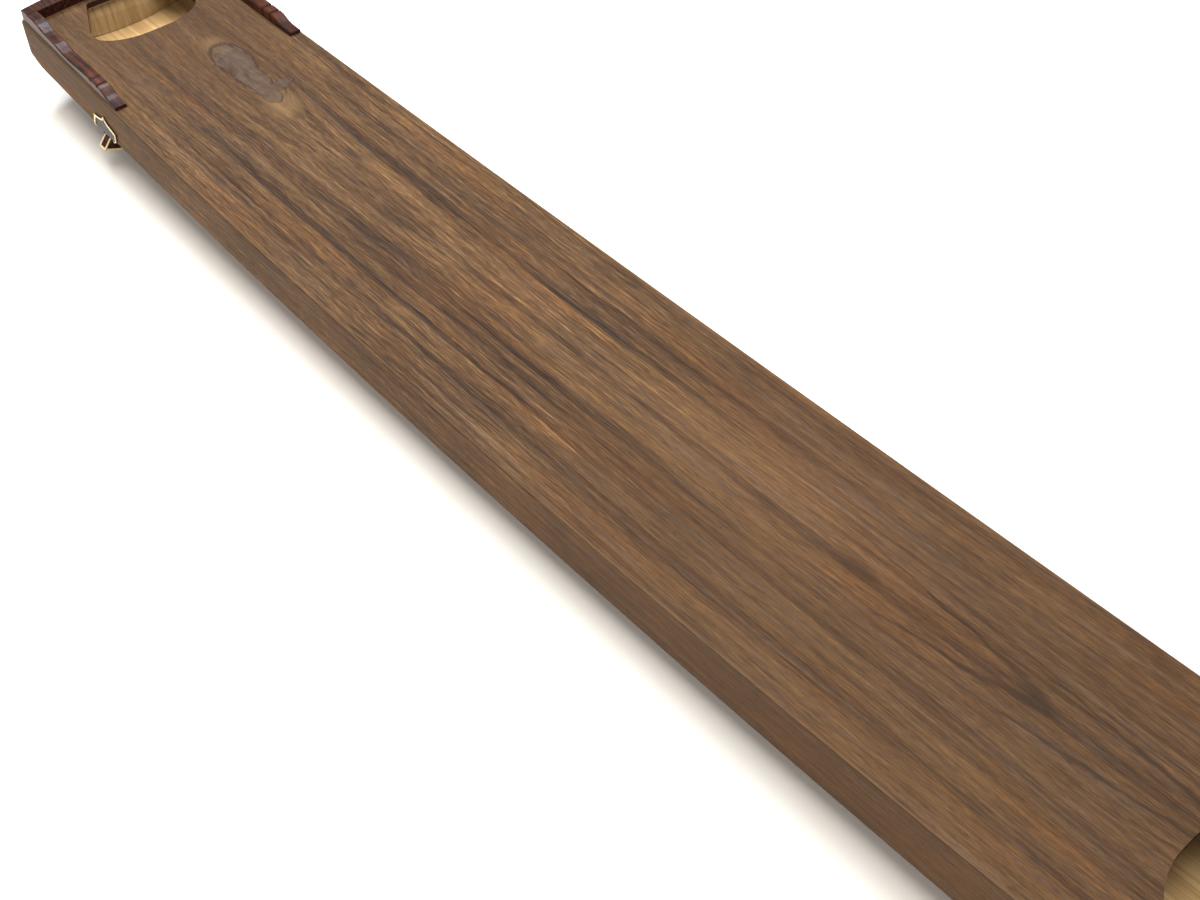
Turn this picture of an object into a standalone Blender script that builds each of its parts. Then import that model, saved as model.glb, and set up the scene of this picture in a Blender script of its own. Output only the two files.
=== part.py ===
"""Thirteen-string long zither (koto), lying face down with its back board up.

Axes: +X runs from the tail end to the head end, +Y is the right-hand side, +Z is up.
The part rests on the strings where they cross the two end bridges, at z = 0.
Depth is measured downwards from the top surface of the back board.
"""
import math

import bmesh
import bpy

# Overall body
LENGTH = 1.790            # corner to corner along a side
END_BOW = 0.015           # each end bulges this much at the centre line, in plan
CENTRE_X = LENGTH / 2 + 0.0025  # the head end's frame stands 5 mm proud
END_FADE = 0.080          # length over which the end bulge fades out
HALF_WIDTH_TAIL = 0.1200
HALF_WIDTH_HEAD = 0.1239
SIDE_BULGE = 0.0129       # extra half width at mid length
SORI = 0.0240             # lengthwise bow of the whole instrument
BOARD_TOP = 0.1108        # height of the back board's surface at the two ends
DECK_DEPTH_TAIL = 0.0754
DECK_DEPTH_HEAD = 0.0890
ARCH_RADIUS = 0.400       # crosswise arch of the deck
SHOULDER_RADIUS = 0.010
END_DROP = 0.007          # the deck's end edge is rounded back by this much
END_DROP_LENGTH = 0.030
GAP = 0.0003              # glue line left between touching pieces

# Shell and back board
SIDE_WALL = 0.013
DECK_WALL = 0.016
BOARD_THICKNESS = 0.0080
MITRE = 0.0010
CAVITY_DEPTH_TAIL = 0.046  # the carved hollow is shallower near the tail
CAVITY_TAIL_FLAT = 0.062
CAVITY_TAIL_RAMP = 0.070
BLOCK_LENGTH_HEAD = 0.034

# Sound holes: place of the arched edge and of the straight edge, shifted a little to the left.
# The half widths are those of the straight edge, the widest point and the arched edge.
HOLE_SHIFT = -0.0030
HOLE_TAIL_ENDS = (0.1146, 0.0160)
HOLE_TAIL_HALVES = (0.0400, 0.0743, 0.0368)
HOLE_HEAD_ENDS = (1.5440, 1.6560)
HOLE_HEAD_HALVES = (0.0380, 0.0670, 0.0300)
HOLE_SHOULDER = 0.0232    # the widest point lies this far from the arched edge

# End bridges
TAIL_BRIDGE_X = 0.177
HEAD_BRIDGE_X = 1.680
CREST_RADIUS = 0.350
CREST_HALF = 0.0070
BRIDGE_BASE_HALF = 0.0125
BRIDGE_OVERHANG = 0.0065
PLATE_THICKNESS = 0.0010
GOLD_THICKNESS = 0.0007
GOLD_WIDTH = 0.0022

# Strings
STRING_COUNT = 13
STRING_RADIUS = 0.00065
STRING_SPACING_TAIL = 0.0155
STRING_SPACING_HEAD = 0.0163
STRING_HOLE_RADIUS = 0.0019
TAIL_HOLE_X = 0.1440
HEAD_HOLE_X = 1.7130
KNOT_RADIUS = 0.0024

# Feet
FOOT_WIDTH = 0.0145
FOOT_INSET = 0.0024
FOOT_BAR_FRONT = 0.0015
FOOT_BAR_THICKNESS = 0.0150
FOOT_BAR_HEIGHT = 0.0135
FOOT_ARM_END = 0.228
LEG_X = 1.715
LEG_Y = 0.083
LEG_HEIGHT = 0.052
TENON = (0.0057, 0.0097, 0.0160)
SOCKET_HOLE = (0.0061, 0.0101)
SOCKET_OUTER = (0.0125, 0.0170)
SOCKET_DEPTH = 0.0280

RIB_POSITIONS = {"rib_tail": 0.430, "rib_middle": 0.880, "rib_head": 1.330}
RIB_THICKNESS = 0.012
RIB_WIDTH = 0.016
SHELL_HALF_POINTS = 16    # points on half of the shell's outer or inner outline


# ---------------------------------------------------------------- shape of the body

def along(x):
    """1 at mid length, 0 at both ends."""
    q = (x - LENGTH / 2) / (LENGTH / 2)
    return 1 - q * q


def half_width(x):
    taper = (HALF_WIDTH_HEAD - HALF_WIDTH_TAIL) * x / LENGTH
    return HALF_WIDTH_TAIL + taper + SIDE_BULGE * along(x)


def board_z(x):
    return BOARD_TOP - SORI * along(x)


def end_fade(distance, length):
    t = max(0.0, 1 - distance / length)
    return t * t


def smooth(t):
    """0 below t = 0 and 1 above t = 1, with a smooth rise between them."""
    t = min(max(t, 0.0), 1.0)
    return t * t * (3 - 2 * t)


def deck_depth(x):
    depth = DECK_DEPTH_TAIL + (DECK_DEPTH_HEAD - DECK_DEPTH_TAIL) * x / LENGTH
    drop = end_fade(x, END_DROP_LENGTH) + end_fade(LENGTH - x, END_DROP_LENGTH)
    return depth - END_DROP * drop


def cavity_depth(x):
    full = deck_depth(min(max(x, 0.06), LENGTH - 0.06)) - DECK_WALL
    share = smooth((x - CAVITY_TAIL_FLAT) / CAVITY_TAIL_RAMP)
    return CAVITY_DEPTH_TAIL + (full - CAVITY_DEPTH_TAIL) * share


def bowed_x(x, y):
    """Shift a point along X so that both ends are convex in plan."""
    across = 1 - (y / half_width(x)) ** 2
    tail = end_fade(x, END_FADE)
    head = end_fade(LENGTH - x, END_FADE)
    return x + END_BOW * across * (head - tail)


def place(x, y, depth):
    """World position of a point given by length, width and depth below the board."""
    return (bowed_x(x, y) - CENTRE_X, y, board_z(x) - depth)


class Outline:
    """Half cross-section: straight side, rounded shoulder, arched deck."""

    def __init__(self, width, depth, shoulder, arch):
        self.width = width
        self.shoulder = shoulder
        self.arch = arch
        self.arch_centre = depth - arch
        reach = arch - shoulder
        self.fillet_y = width - shoulder
        self.fillet_d = self.arch_centre + math.sqrt(reach ** 2 - self.fillet_y ** 2)
        self.arch_angle = math.asin(self.fillet_y / reach)
        self.fillet_angle = math.pi / 2 - self.arch_angle
        self.side_length = self.fillet_d
        self.fillet_length = shoulder * self.fillet_angle
        self.total = self.side_length + self.fillet_length + arch * self.arch_angle

    def at(self, a, lift=0.0):
        """Point (y >= 0, depth) at distance a from the board's edge, lifted outwards."""
        if a <= self.side_length:
            return (self.width + lift, a)
        if a <= self.side_length + self.fillet_length:
            angle = (a - self.side_length) / self.shoulder
            radius = self.shoulder + lift
            return (self.fillet_y + radius * math.cos(angle),
                    self.fillet_d + radius * math.sin(angle))
        angle = self.arch_angle - (a - self.side_length - self.fillet_length) / self.arch
        radius = self.arch + lift
        return (radius * math.sin(angle), self.arch_centre + radius * math.cos(angle))

    def depth_at(self, y):
        """Depth of the surface at width y, on the arch or the shoulder."""
        if y <= self.arch * math.sin(self.arch_angle):
            return self.arch_centre + math.sqrt(self.arch ** 2 - y * y)
        return self.fillet_d + math.sqrt(self.shoulder ** 2 - (y - self.fillet_y) ** 2)


def outer_outline(x):
    return Outline(half_width(x), deck_depth(x), SHOULDER_RADIUS, ARCH_RADIUS)


def inner_outline(x, inset=0.0):
    width = half_width(x) - SIDE_WALL - inset
    return Outline(width, cavity_depth(x) - inset, 0.016, ARCH_RADIUS)


def half_points(outline, start, side_steps, fillet_steps, arch_steps):
    """Distances along a half outline, from the side's top to the centre line."""
    side = [start + (outline.side_length - start) * i / side_steps for i in range(side_steps)]
    fillet_start = outline.side_length
    fillet = [fillet_start + outline.fillet_length * i / fillet_steps for i in range(fillet_steps)]
    arch_start = fillet_start + outline.fillet_length
    arch_length = outline.total - arch_start
    arch = [arch_start + arch_length * i / arch_steps for i in range(arch_steps + 1)]
    return side + fillet + arch


def mirrored(half):
    """Full list of (y, depth) points from the left edge over the centre to the right edge."""
    left = [(-y, d) for y, d in half]
    return left + [(y, d) for y, d in reversed(half[:-1])]


def body_stations():
    ends = [0.0, 0.010, 0.022, 0.036, 0.055, 0.080]
    tail = [0.105, 0.130, 0.150, 0.175, 0.205, 0.240]
    middle = [0.240 + 0.070 * i for i in range(1, 19)]
    rest = [x for x in middle if x < LENGTH - 0.100]
    return ends + tail + rest + [LENGTH - x for x in reversed(ends)]


# ---------------------------------------------------------------- mesh helpers

def clear_scene():
    for obj in list(bpy.data.objects):
        bpy.data.objects.remove(obj, do_unlink=True)


def link(obj):
    bpy.context.scene.collection.objects.link(obj)
    return obj


def shade(mesh, smooth_angle):
    for polygon in mesh.polygons:
        polygon.use_smooth = True
    mesh.set_sharp_from_angle(angle=math.radians(smooth_angle))


def mesh_object(name, bm, material, origin=(0.0, 0.0, 0.0), smooth_angle=32):
    bmesh.ops.recalc_face_normals(bm, faces=bm.faces)
    for vertex in bm.verts:
        vertex.co.x -= origin[0]
        vertex.co.y -= origin[1]
        vertex.co.z -= origin[2]
    mesh = bpy.data.meshes.new(name)
    bm.to_mesh(mesh)
    bm.free()
    if smooth_angle:
        shade(mesh, smooth_angle)
    obj = link(bpy.data.objects.new(name, mesh))
    obj.location = origin
    if material is not None:
        mesh.materials.append(material)
    return obj


def loft(rings, caps=None):
    """Closed solid through rings of equal length; caps lists the faces that close each end."""
    bm = bmesh.new()
    rows = [[bm.verts.new(point) for point in ring] for ring in rings]
    count = len(rows[0])
    for lower, upper in zip(rows, rows[1:]):
        for i in range(count):
            j = (i + 1) % count
            bm.faces.new((lower[i], lower[j], upper[j], upper[i]))
    for row in (rows[0], rows[-1]):
        for face in caps or [range(count)]:
            bm.faces.new([row[i] for i in face])
    return bm


def band_caps(count, gap=0):
    """Cap faces of a ring made of count outer points, gap points, count inner points."""
    inner = [2 * count + gap - 1 - i for i in range(count)]
    return [(i, i + 1, inner[i + 1], inner[i]) for i in range(count - 1)]


def closed_loft(rings):
    """Closed ring-shaped solid: the last ring joins the first."""
    bm = bmesh.new()
    rows = [[bm.verts.new(point) for point in ring] for ring in rings]
    count = len(rows[0])
    for lower, upper in zip(rows, rows[1:] + rows[:1]):
        for i in range(count):
            j = (i + 1) % count
            bm.faces.new((lower[i], lower[j], upper[j], upper[i]))
    return bm


def sheet_solid(top, bottom):
    """Closed solid between two grids of points that have the same rows and columns."""
    bm = bmesh.new()
    high = [[bm.verts.new(point) for point in row] for row in top]
    low = [[bm.verts.new(point) for point in row] for row in bottom]
    rows = len(high)
    columns = len(high[0])
    for i in range(rows - 1):
        for j in range(columns - 1):
            bm.faces.new((high[i][j], high[i][j + 1], high[i + 1][j + 1], high[i + 1][j]))
            bm.faces.new((low[i][j], low[i + 1][j], low[i + 1][j + 1], low[i][j + 1]))
    rim = [(0, j) for j in range(columns)]
    rim += [(i, columns - 1) for i in range(1, rows)]
    rim += [(rows - 1, j) for j in range(columns - 2, -1, -1)]
    rim += [(i, 0) for i in range(rows - 2, 0, -1)]
    for (a, b), (c, d) in zip(rim, rim[1:] + rim[:1]):
        bm.faces.new((high[a][b], low[a][b], low[c][d], high[c][d]))
    return bm


def prism(outline_points, z_low, z_high):
    """Vertical prism over a closed outline of (x, y) points."""
    return loft([[(x, y, z_low) for x, y in outline_points],
                 [(x, y, z_high) for x, y in outline_points]])


def cutter(name, bm):
    obj = mesh_object(name, bm, None, smooth_angle=0)
    obj.hide_render = True
    obj.display_type = "WIRE"
    return obj


def cut(obj, tool):
    modifier = obj.modifiers.new("cut", "BOOLEAN")
    modifier.operation = "DIFFERENCE"
    modifier.solver = "EXACT"
    modifier.object = tool


# ---------------------------------------------------------------- materials

def material(name, color, roughness, metallic=0.0):
    mat = bpy.data.materials.new(name)
    mat.use_nodes = True
    shader = mat.node_tree.nodes["Principled BSDF"]
    shader.inputs["Base Color"].default_value = (*color, 1.0)
    shader.inputs["Roughness"].default_value = roughness
    shader.inputs["Metallic"].default_value = metallic
    mat.diffuse_color = (*color, 1.0)
    return mat


def burnt_paulownia(name):
    return material(name, (0.165, 0.105, 0.062), 0.55)


def raw_paulownia(name):
    return material(name, (0.42, 0.29, 0.15), 0.65)


def rosewood(name):
    return material(name, (0.075, 0.028, 0.022), 0.30)


def black_lacquer(name):
    return material(name, (0.020, 0.020, 0.022), 0.22)


def gold(name):
    return material(name, (0.83, 0.58, 0.27), 0.32, 1.0)


def string_fibre(name):
    return material(name, (0.78, 0.70, 0.50), 0.45)


# ---------------------------------------------------------------- shell and board

def shell_ring(x):
    outer = outer_outline(x)
    inner = inner_outline(x)
    ledge = BOARD_THICKNESS + GAP
    outside = mirrored([outer.at(a) for a in half_points(outer, 0.0030, 2, 4, 9)])
    inside = mirrored([inner.at(a) for a in half_points(inner, ledge, 2, 4, 9)])
    width = outer.width
    high = (width - 0.0006, MITRE + 0.0006)
    low = (width + MITRE - ledge, ledge)
    right = [high, low]
    left = [(-low[0], low[1]), (-high[0], high[1])]
    ring = outside + right + list(reversed(inside)) + left
    return [place(x, y, d) for y, d in ring]


def shell_caps():
    count = 2 * SHELL_HALF_POINTS - 1
    inner_right = count + 2
    inner_left = 2 * count + 1
    rims = [(count - 1, count, count + 1, inner_right), (0, inner_left, inner_left + 1, inner_left + 2)]
    return band_caps(count, 2) + rims


def deck_shell():
    bm = loft([shell_ring(x) for x in body_stations()], shell_caps())
    shell = mesh_object("deck_shell", bm, burnt_paulownia("deck_wood"))
    cut(shell, cutter("string_hole_tool", string_hole_cylinders()))
    return shell


def string_hole_cylinders():
    bm = bmesh.new()
    for index in range(STRING_COUNT):
        for x, spacing in ((TAIL_HOLE_X, STRING_SPACING_TAIL), (HEAD_HOLE_X, STRING_SPACING_HEAD)):
            y = (index - STRING_COUNT // 2) * spacing
            top = board_z(x) - cavity_depth(x) + 0.028
            bottom = board_z(x) - deck_depth(x) - 0.006
            rings = []
            for z in (bottom, top):
                ring = []
                for k in range(10):
                    angle = 2 * math.pi * k / 10
                    ring.append(bm.verts.new((x - CENTRE_X + STRING_HOLE_RADIUS * math.cos(angle),
                                              y + STRING_HOLE_RADIUS * math.sin(angle), z)))
                rings.append(ring)
            for k in range(10):
                j = (k + 1) % 10
                bm.faces.new((rings[0][k], rings[0][j], rings[1][j], rings[1][k]))
            bm.faces.new(rings[0])
            bm.faces.new(rings[1])
    return bm


def board_row(x, top):
    """Points across the back board's upper or lower surface; its edges are mitred."""
    width = half_width(x)
    mitre = width + MITRE - GAP * 1.42
    if top:
        edge = [(mitre - 0.0012, 0.0012), (width - 0.0030, 0.0)]
        depth = 0.0
    else:
        edge = [(mitre - BOARD_THICKNESS, BOARD_THICKNESS), (mitre - 0.0120, BOARD_THICKNESS)]
        depth = BOARD_THICKNESS
    half = edge + [(0.08, depth), (0.04, depth), (0.0, depth)]
    return [place(x, y, d) for y, d in mirrored(half)]


def rounded_points(corners, steps):
    """Closed outline with each corner rounded. A corner is (x, y, reach)."""
    points = []
    count = len(corners)
    for i, (x, y, reach) in enumerate(corners):
        before = corners[i - 1]
        after = corners[(i + 1) % count]
        starts = []
        for other in (before, after):
            dx = other[0] - x
            dy = other[1] - y
            length = math.hypot(dx, dy)
            share = min(reach, length * 0.499) / length
            starts.append((x + dx * share, y + dy * share))
        for k in range(steps + 1):
            t = k / steps
            a = (1 - t) ** 2
            b = 2 * t * (1 - t)
            c = t * t
            points.append((a * starts[0][0] + b * x + c * starts[1][0],
                           a * starts[0][1] + b * y + c * starts[1][1]))
    return points


def sound_hole_points(ends, halves):
    """Fan-shaped hole: short straight edge at the body's end, wide arched edge inwards."""
    arched, straight = ends
    narrow, wide, nose = halves
    inward = math.copysign(1.0, arched - straight)
    shoulder = arched - inward * HOLE_SHOULDER
    half = [(straight, narrow, 0.004), (shoulder, wide, 0.024), (arched, nose, 0.024)]
    corners = [(x, -y, reach) for x, y, reach in half] + list(reversed(half))
    return [(x - CENTRE_X, y + HOLE_SHIFT) for x, y in rounded_points(corners, 5)]


def socket_points(side, halves):
    hx, hy = halves
    x = LEG_X - CENTRE_X
    y = side * LEG_Y
    return [(x - hx, y - hy), (x + hx, y - hy), (x + hx, y + hy), (x - hx, y + hy)]


def back_board():
    stations = body_stations()
    bm = sheet_solid([board_row(x, True) for x in stations], [board_row(x, False) for x in stations])
    board = mesh_object("back_board", bm, burnt_paulownia("back_board_wood"))
    tail = sound_hole_points(HOLE_TAIL_ENDS, HOLE_TAIL_HALVES)
    head = sound_hole_points(HOLE_HEAD_ENDS, HOLE_HEAD_HALVES)
    cut(board, cutter("tail_sound_hole_tool", prism(tail, 0.05, 0.15)))
    cut(board, cutter("head_sound_hole_tool", prism(head, 0.05, 0.15)))
    for side, word in ((-1, "left"), (1, "right")):
        slot = prism(socket_points(side, (0.0065, 0.0105)), 0.05, 0.15)
        cut(board, cutter("leg_slot_tool_" + word, slot))
    return board


# ---------------------------------------------------------------- inside the body

def rib_ring(x, inset):
    outline = inner_outline(x, inset)
    steps = half_points(outline, BOARD_THICKNESS + 2 * GAP, 1, 3, 6)
    return mirrored([outline.at(a) for a in steps])


def rib(name, x):
    """Arched frame glued across the hollow, against the sides and the deck."""
    low = x - RIB_THICKNESS / 2
    high = x + RIB_THICKNESS / 2
    rings = []
    for station in (low, high):
        outside = rib_ring(station, 2 * GAP)
        inside = rib_ring(station, RIB_WIDTH)
        rings.append([place(station, y, d) for y, d in outside + list(reversed(inside))])
    bm = loft(rings, band_caps(len(rings[0]) // 2))
    return mesh_object(name, bm, raw_paulownia(name + "_wood"))


def tail_block():
    """Closes the hollow at the tail; its inner face leans into the hollow."""
    rings = []
    for x_high, x_low in ((0.0016, 0.0016), (0.0115, 0.0270)):
        ring = []
        for y, depth in rib_ring(0.012, 2 * GAP):
            share = (depth - BOARD_THICKNESS) / (CAVITY_DEPTH_TAIL - BOARD_THICKNESS)
            ring.append(place(x_high + (x_low - x_high) * share, y, depth))
        rings.append(ring)
    return mesh_object("tail_block", loft(rings), raw_paulownia("tail_block_wood"))


def head_block():
    """Closes the hollow at the head end."""
    rings = []
    for distance in (BLOCK_LENGTH_HEAD, 0.022, 0.010, 0.0016):
        x = LENGTH - distance
        rings.append([place(x, y, d) for y, d in rib_ring(x, 2 * GAP)])
    return mesh_object("head_block", loft(rings), raw_paulownia("head_block_wood"))


# ---------------------------------------------------------------- end bridges

def centre_crest_depth(x):
    """Depth of a crest at the centre line, so that the strings over it touch z = 0."""
    return board_z(x) - GAP - 2 * STRING_RADIUS


def crest_depth(centre_depth, y):
    """The crest is arched across, with a level stretch under the three middle strings."""
    flat = CREST_RADIUS - math.sqrt(CREST_RADIUS ** 2 - 0.0165 ** 2)
    sag = CREST_RADIUS - math.sqrt(CREST_RADIUS ** 2 - y * y)
    return centre_depth - max(0.0, sag - flat)


def bridge_profile(height):
    """Half thickness of the bridge against the share of its height; the crest is upright."""
    crest = 1 - max(0.15, (GOLD_WIDTH + 0.0006) / height)
    shape = [(0.0, BRIDGE_BASE_HALF), (0.12, 0.0114), (0.35, 0.0093), (0.65, 0.0078)]
    return [(share * crest, half) for share, half in shape] + [(crest, CREST_HALF), (1.0, CREST_HALF)]


def bridge_section(x, t, centre_depth, inset=0.0):
    """Base and crest points (y, depth) of a bridge at share t of its half length."""
    crest_y = (half_width(x) + BRIDGE_OVERHANG - inset) * t
    base_y = (half_width(x) - 0.0062 - inset) * t
    outline = outer_outline(x)
    lift = PLATE_THICKNESS + 3 * GAP
    base_depth = outline.depth_at(abs(base_y)) + lift + 0.0004
    return (base_y, base_depth), (crest_y, crest_depth(centre_depth, crest_y))


def end_bridge(name, x, centre_depth):
    """Tall arched bar that the strings cross; its ends lean outwards."""
    rings = []
    for i in range(25):
        t = -1 + 2 * i / 24
        base, crest = bridge_section(x, t, centre_depth)
        profile = bridge_profile(crest[1] - base[1])
        ring = []
        for sign, order in ((-1, profile), (1, list(reversed(profile)))):
            for share, half in order:
                y = base[0] + (crest[0] - base[0]) * share
                depth = base[1] + (crest[1] - base[1]) * share
                ring.append((x + sign * half - CENTRE_X, y, board_z(x) - depth))
        rings.append(ring)
    return mesh_object(name, loft(rings), rosewood(name + "_wood"))


def gold_edge(name, x, centre_depth, sign):
    """Thin gold strip along one long edge of a bridge's crest."""
    rings = []
    near = CREST_HALF + GAP
    far = near + GOLD_THICKNESS
    for i in range(25):
        t = -1 + 2 * i / 24
        base, crest = bridge_section(x, t, centre_depth, GAP)
        height = crest[1] - base[1]
        ring = []
        for half, back in ((near, 0.0002), (far, 0.0002), (far, GOLD_WIDTH), (near, GOLD_WIDTH)):
            share = 1 - back / height
            y = base[0] + (crest[0] - base[0]) * share
            ring.append((x + sign * half - CENTRE_X, y, board_z(x) - crest[1] + back))
        rings.append(ring)
    return mesh_object(name, loft(rings), gold(name + "_metal"))


def gold_end(name, x, centre_depth, side):
    """U-shaped gold line framing the end face of a bridge."""
    base, crest = bridge_section(x, side, centre_depth)
    dy = crest[0] - base[0]
    dd = crest[1] - base[1]
    length = math.hypot(dy, dd)
    along_face = (dy / length, dd / length)
    normal = (side * abs(along_face[1]), -abs(along_face[0]))
    reach = min(0.016, length - 0.0012)
    outer_loop = [(-CREST_HALF, reach), (-CREST_HALF, 0.0), (CREST_HALF, 0.0), (CREST_HALF, reach)]
    inner = CREST_HALF - GOLD_WIDTH
    inner_loop = [(-inner, reach), (-inner, GOLD_WIDTH), (inner, GOLD_WIDTH), (inner, reach)]
    rings = []
    for (ox, oh), (ix, ih) in zip(outer_loop, inner_loop):
        ring = []
        for px, back, lift in ((ox, oh, GAP), (ix, ih, GAP),
                               (ix, ih, GAP + GOLD_THICKNESS), (ox, oh, GAP + GOLD_THICKNESS)):
            y = crest[0] - along_face[0] * back + normal[0] * lift
            depth = crest[1] - along_face[1] * back + normal[1] * lift
            ring.append((x + px - CENTRE_X, y, board_z(x) - depth))
        rings.append(ring)
    return mesh_object(name, loft(rings), gold(name + "_metal"))


# ---------------------------------------------------------------- plates on the deck

# Leaf outline on the side of the body: distance down the side, tail edge, head edge.
LEAF_ROWS = [(0.0262, 0.0145, 0.0160), (0.0290, 0.0138, 0.0180), (0.0312, 0.0086, 0.0215),
             (0.0326, 0.0050, 0.0240), (0.0342, -0.0030, 0.0290), (0.0352, -0.0108, 0.0350),
             (0.0368, -0.0096, 0.0392), (0.0400, -0.0116, 0.0390), (0.0450, -0.0138, 0.0378),
             (0.0490, -0.0152, 0.0362)]
PLATE_TAIL_EDGE = -0.0170
PLATE_HEAD_EDGE = 0.0190


def skin(x, a, side, lift):
    """World point on the outside of the body at distance a down from the board's edge."""
    y, depth = outer_outline(x).at(a, lift)
    return place(x, side * y, depth)


def leaf_rows(centre_x):
    outline = outer_outline(centre_x)
    shoulder = outline.side_length + outline.fillet_length
    rows = list(LEAF_ROWS)
    start, tail_edge, head_edge = rows[-1]
    for k in range(1, 7):
        t = k / 6
        blend = min(1.0, t * 1.3)
        low = tail_edge + (PLATE_TAIL_EDGE - tail_edge) * blend
        high = head_edge + (PLATE_HEAD_EDGE - head_edge) * blend
        rows.append((start + (shoulder - start) * t, low, high))
    for k in range(1, 10):
        a = shoulder + (outline.total - shoulder) * k / 9
        rows.append((a, PLATE_TAIL_EDGE, PLATE_HEAD_EDGE))
    return rows


def saddle_plate(name, centre_x, facing):
    """Lacquered veneer under a bridge, ending in a leaf on each side of the body."""
    half = leaf_rows(centre_x)
    order = [(row, -1) for row in half] + [(row, 1) for row in reversed(half[:-1])]
    grids = []
    for lift in (GAP, GAP + PLATE_THICKNESS):
        grid = []
        for (a, low, high), side in order:
            line = []
            for k in range(5):
                x = centre_x + facing * (low + (high - low) * k / 4)
                line.append(skin(x, a, side, lift))
            grid.append(line)
        grids.append(grid)
    bm = sheet_solid(grids[1], grids[0])
    return mesh_object(name, bm, black_lacquer(name + "_lacquer"), smooth_angle=50)


def leaf_gold(name, centre_x, facing, side):
    """Raised gold line around one leaf."""
    rows = LEAF_ROWS + leaf_rows(centre_x)[len(LEAF_ROWS):len(LEAF_ROWS) + 4]
    path = [(low, a) for a, low, high in reversed(rows)]
    path += [(high, a) for a, low, high in rows]
    middle = (0.012, 0.056)
    rings = []
    for dx, a in path:
        inward_x = middle[0] - dx
        inward_a = middle[1] - a
        length = max(abs(inward_x), abs(inward_a))
        step_x = GOLD_WIDTH * inward_x / length
        step_a = GOLD_WIDTH * inward_a / length
        ring = []
        low = PLATE_THICKNESS + 2 * GAP
        high = low + GOLD_THICKNESS
        for shift, lift in ((0, low), (1, low), (1, high), (0, high)):
            x = centre_x + facing * (dx + shift * step_x)
            ring.append(skin(x, a + shift * step_a, side, lift))
        rings.append(ring)
    return mesh_object(name, loft(rings), gold(name + "_metal"))


def cap_plate(name, x_columns, x_front, wave):
    """Rosewood plate covering the deck between an end and the string holes."""
    rows = []
    for k in range(15):
        t = -1 + k / 7
        front = x_front + wave * (1 - abs(t)) * math.cos(3 * math.pi * t)
        rows.append((t, front))
    grids = []
    for lift in (GAP, GAP + 0.0012):
        grid = []
        for t, front in rows:
            line = []
            for x in x_columns + [front]:
                outline = outer_outline(x)
                arch_start = outline.side_length + outline.fillet_length
                reach = (outline.total - arch_start) * 0.985
                y, depth = outline.at(outline.total - reach * abs(t), lift)
                line.append(place(x, y if t > 0 else -y, depth))
            grid.append(line)
        grids.append(grid)
    bm = sheet_solid(grids[1], grids[0])
    return mesh_object(name, bm, rosewood(name + "_wood"), smooth_angle=50)


def tongue_outline(grow):
    """Outline of the head end's inset panel as (y, depth), grown outwards."""
    corners = [(-0.086 - grow, 0.020 - grow, 0.012), (0.086 + grow, 0.020 - grow, 0.012),
               (0.086 + grow, 0.044 + grow, 0.012), (0.0, 0.074 + grow, 0.060),
               (-0.086 - grow, 0.044 + grow, 0.012)]
    return rounded_points(corners, 4)


def end_point(y, depth, lift):
    x, y, z = place(LENGTH, y, depth)
    return (x + lift, y, z)


def head_tongue():
    rings = []
    for grow, lift in ((0.0, GAP), (0.0, 0.0030), (-0.003, 0.0040)):
        rings.append([end_point(y, d, lift) for y, d in tongue_outline(grow)])
    return mesh_object("head_tongue", loft(rings), rosewood("head_tongue_wood"))


def head_tongue_frame():
    inner = tongue_outline(GAP)
    outer = tongue_outline(0.0035)
    rings = []
    for (iy, idep), (oy, odep) in zip(inner, outer):
        rings.append([end_point(iy, idep, GAP), end_point(oy, odep, GAP),
                      end_point(oy, odep, 0.0042), end_point(iy, idep, 0.0050)])
    return mesh_object("head_tongue_frame", closed_loft(rings), rosewood("head_frame_wood"))


# ---------------------------------------------------------------- feet

# Height of a rear foot arm above the board against distance from the tail end.
ARM_PROFILE = [(0.0183, 0.0145), (0.0280, 0.0157), (0.0360, 0.0160), (0.0440, 0.0151),
               (0.0520, 0.0132), (0.0600, 0.0119), (0.0680, 0.0114), (0.0770, 0.0116),
               (0.0860, 0.0112), (0.0950, 0.0098), (0.1050, 0.0086), (0.1180, 0.0083),
               (0.1320, 0.0092), (0.1450, 0.0106), (0.1550, 0.0114), (0.1690, 0.0116),
               (0.1702, 0.0104), (0.1738, 0.0104), (0.1750, 0.0116), (0.1850, 0.0116),
               (0.1862, 0.0104), (0.1890, 0.0104), (0.1902, 0.0116), (0.1950, 0.0109),
               (0.2000, 0.0088), (0.2060, 0.0062), (0.2120, 0.0049), (0.2190, 0.0045),
               (FOOT_ARM_END, 0.0043)]


def rear_foot_arm(name, side):
    """Low carved runner along one edge of the back board."""
    rings = []
    for x, height in ARM_PROFILE:
        outer = half_width(x) - FOOT_INSET
        inner = outer - FOOT_WIDTH
        soft = 0.0012
        section = [(outer, -GAP), (outer, soft - height), (outer - soft, -height),
                   (inner + soft, -height), (inner, soft - height), (inner, -GAP)]
        rings.append([place(x, side * y, depth) for y, depth in section])
    return mesh_object(name, loft(rings), rosewood(name + "_wood"), smooth_angle=38)


def rear_foot_bar():
    """Crossbar of the rear foot, along the rounded tail end."""
    rings = []
    for i in range(17):
        t = -1 + i / 8
        y = t * (half_width(0.01) - FOOT_INSET)
        corner = max(0.0, abs(t) - 0.86) / 0.14
        front = FOOT_BAR_FRONT + 0.0015 * corner * corner
        back = front + FOOT_BAR_THICKNESS
        height = FOOT_BAR_HEIGHT + 0.0012 * corner
        soft = 0.0012
        section = [(front, -GAP), (front, soft - height), (front + soft, -height),
                   (back - soft, -height), (back, soft - height), (back, -GAP)]
        rings.append([place(x, y, depth) for x, depth in section])
    return mesh_object("rear_foot_bar", loft(rings), rosewood("rear_foot_bar_wood"), smooth_angle=38)


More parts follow.
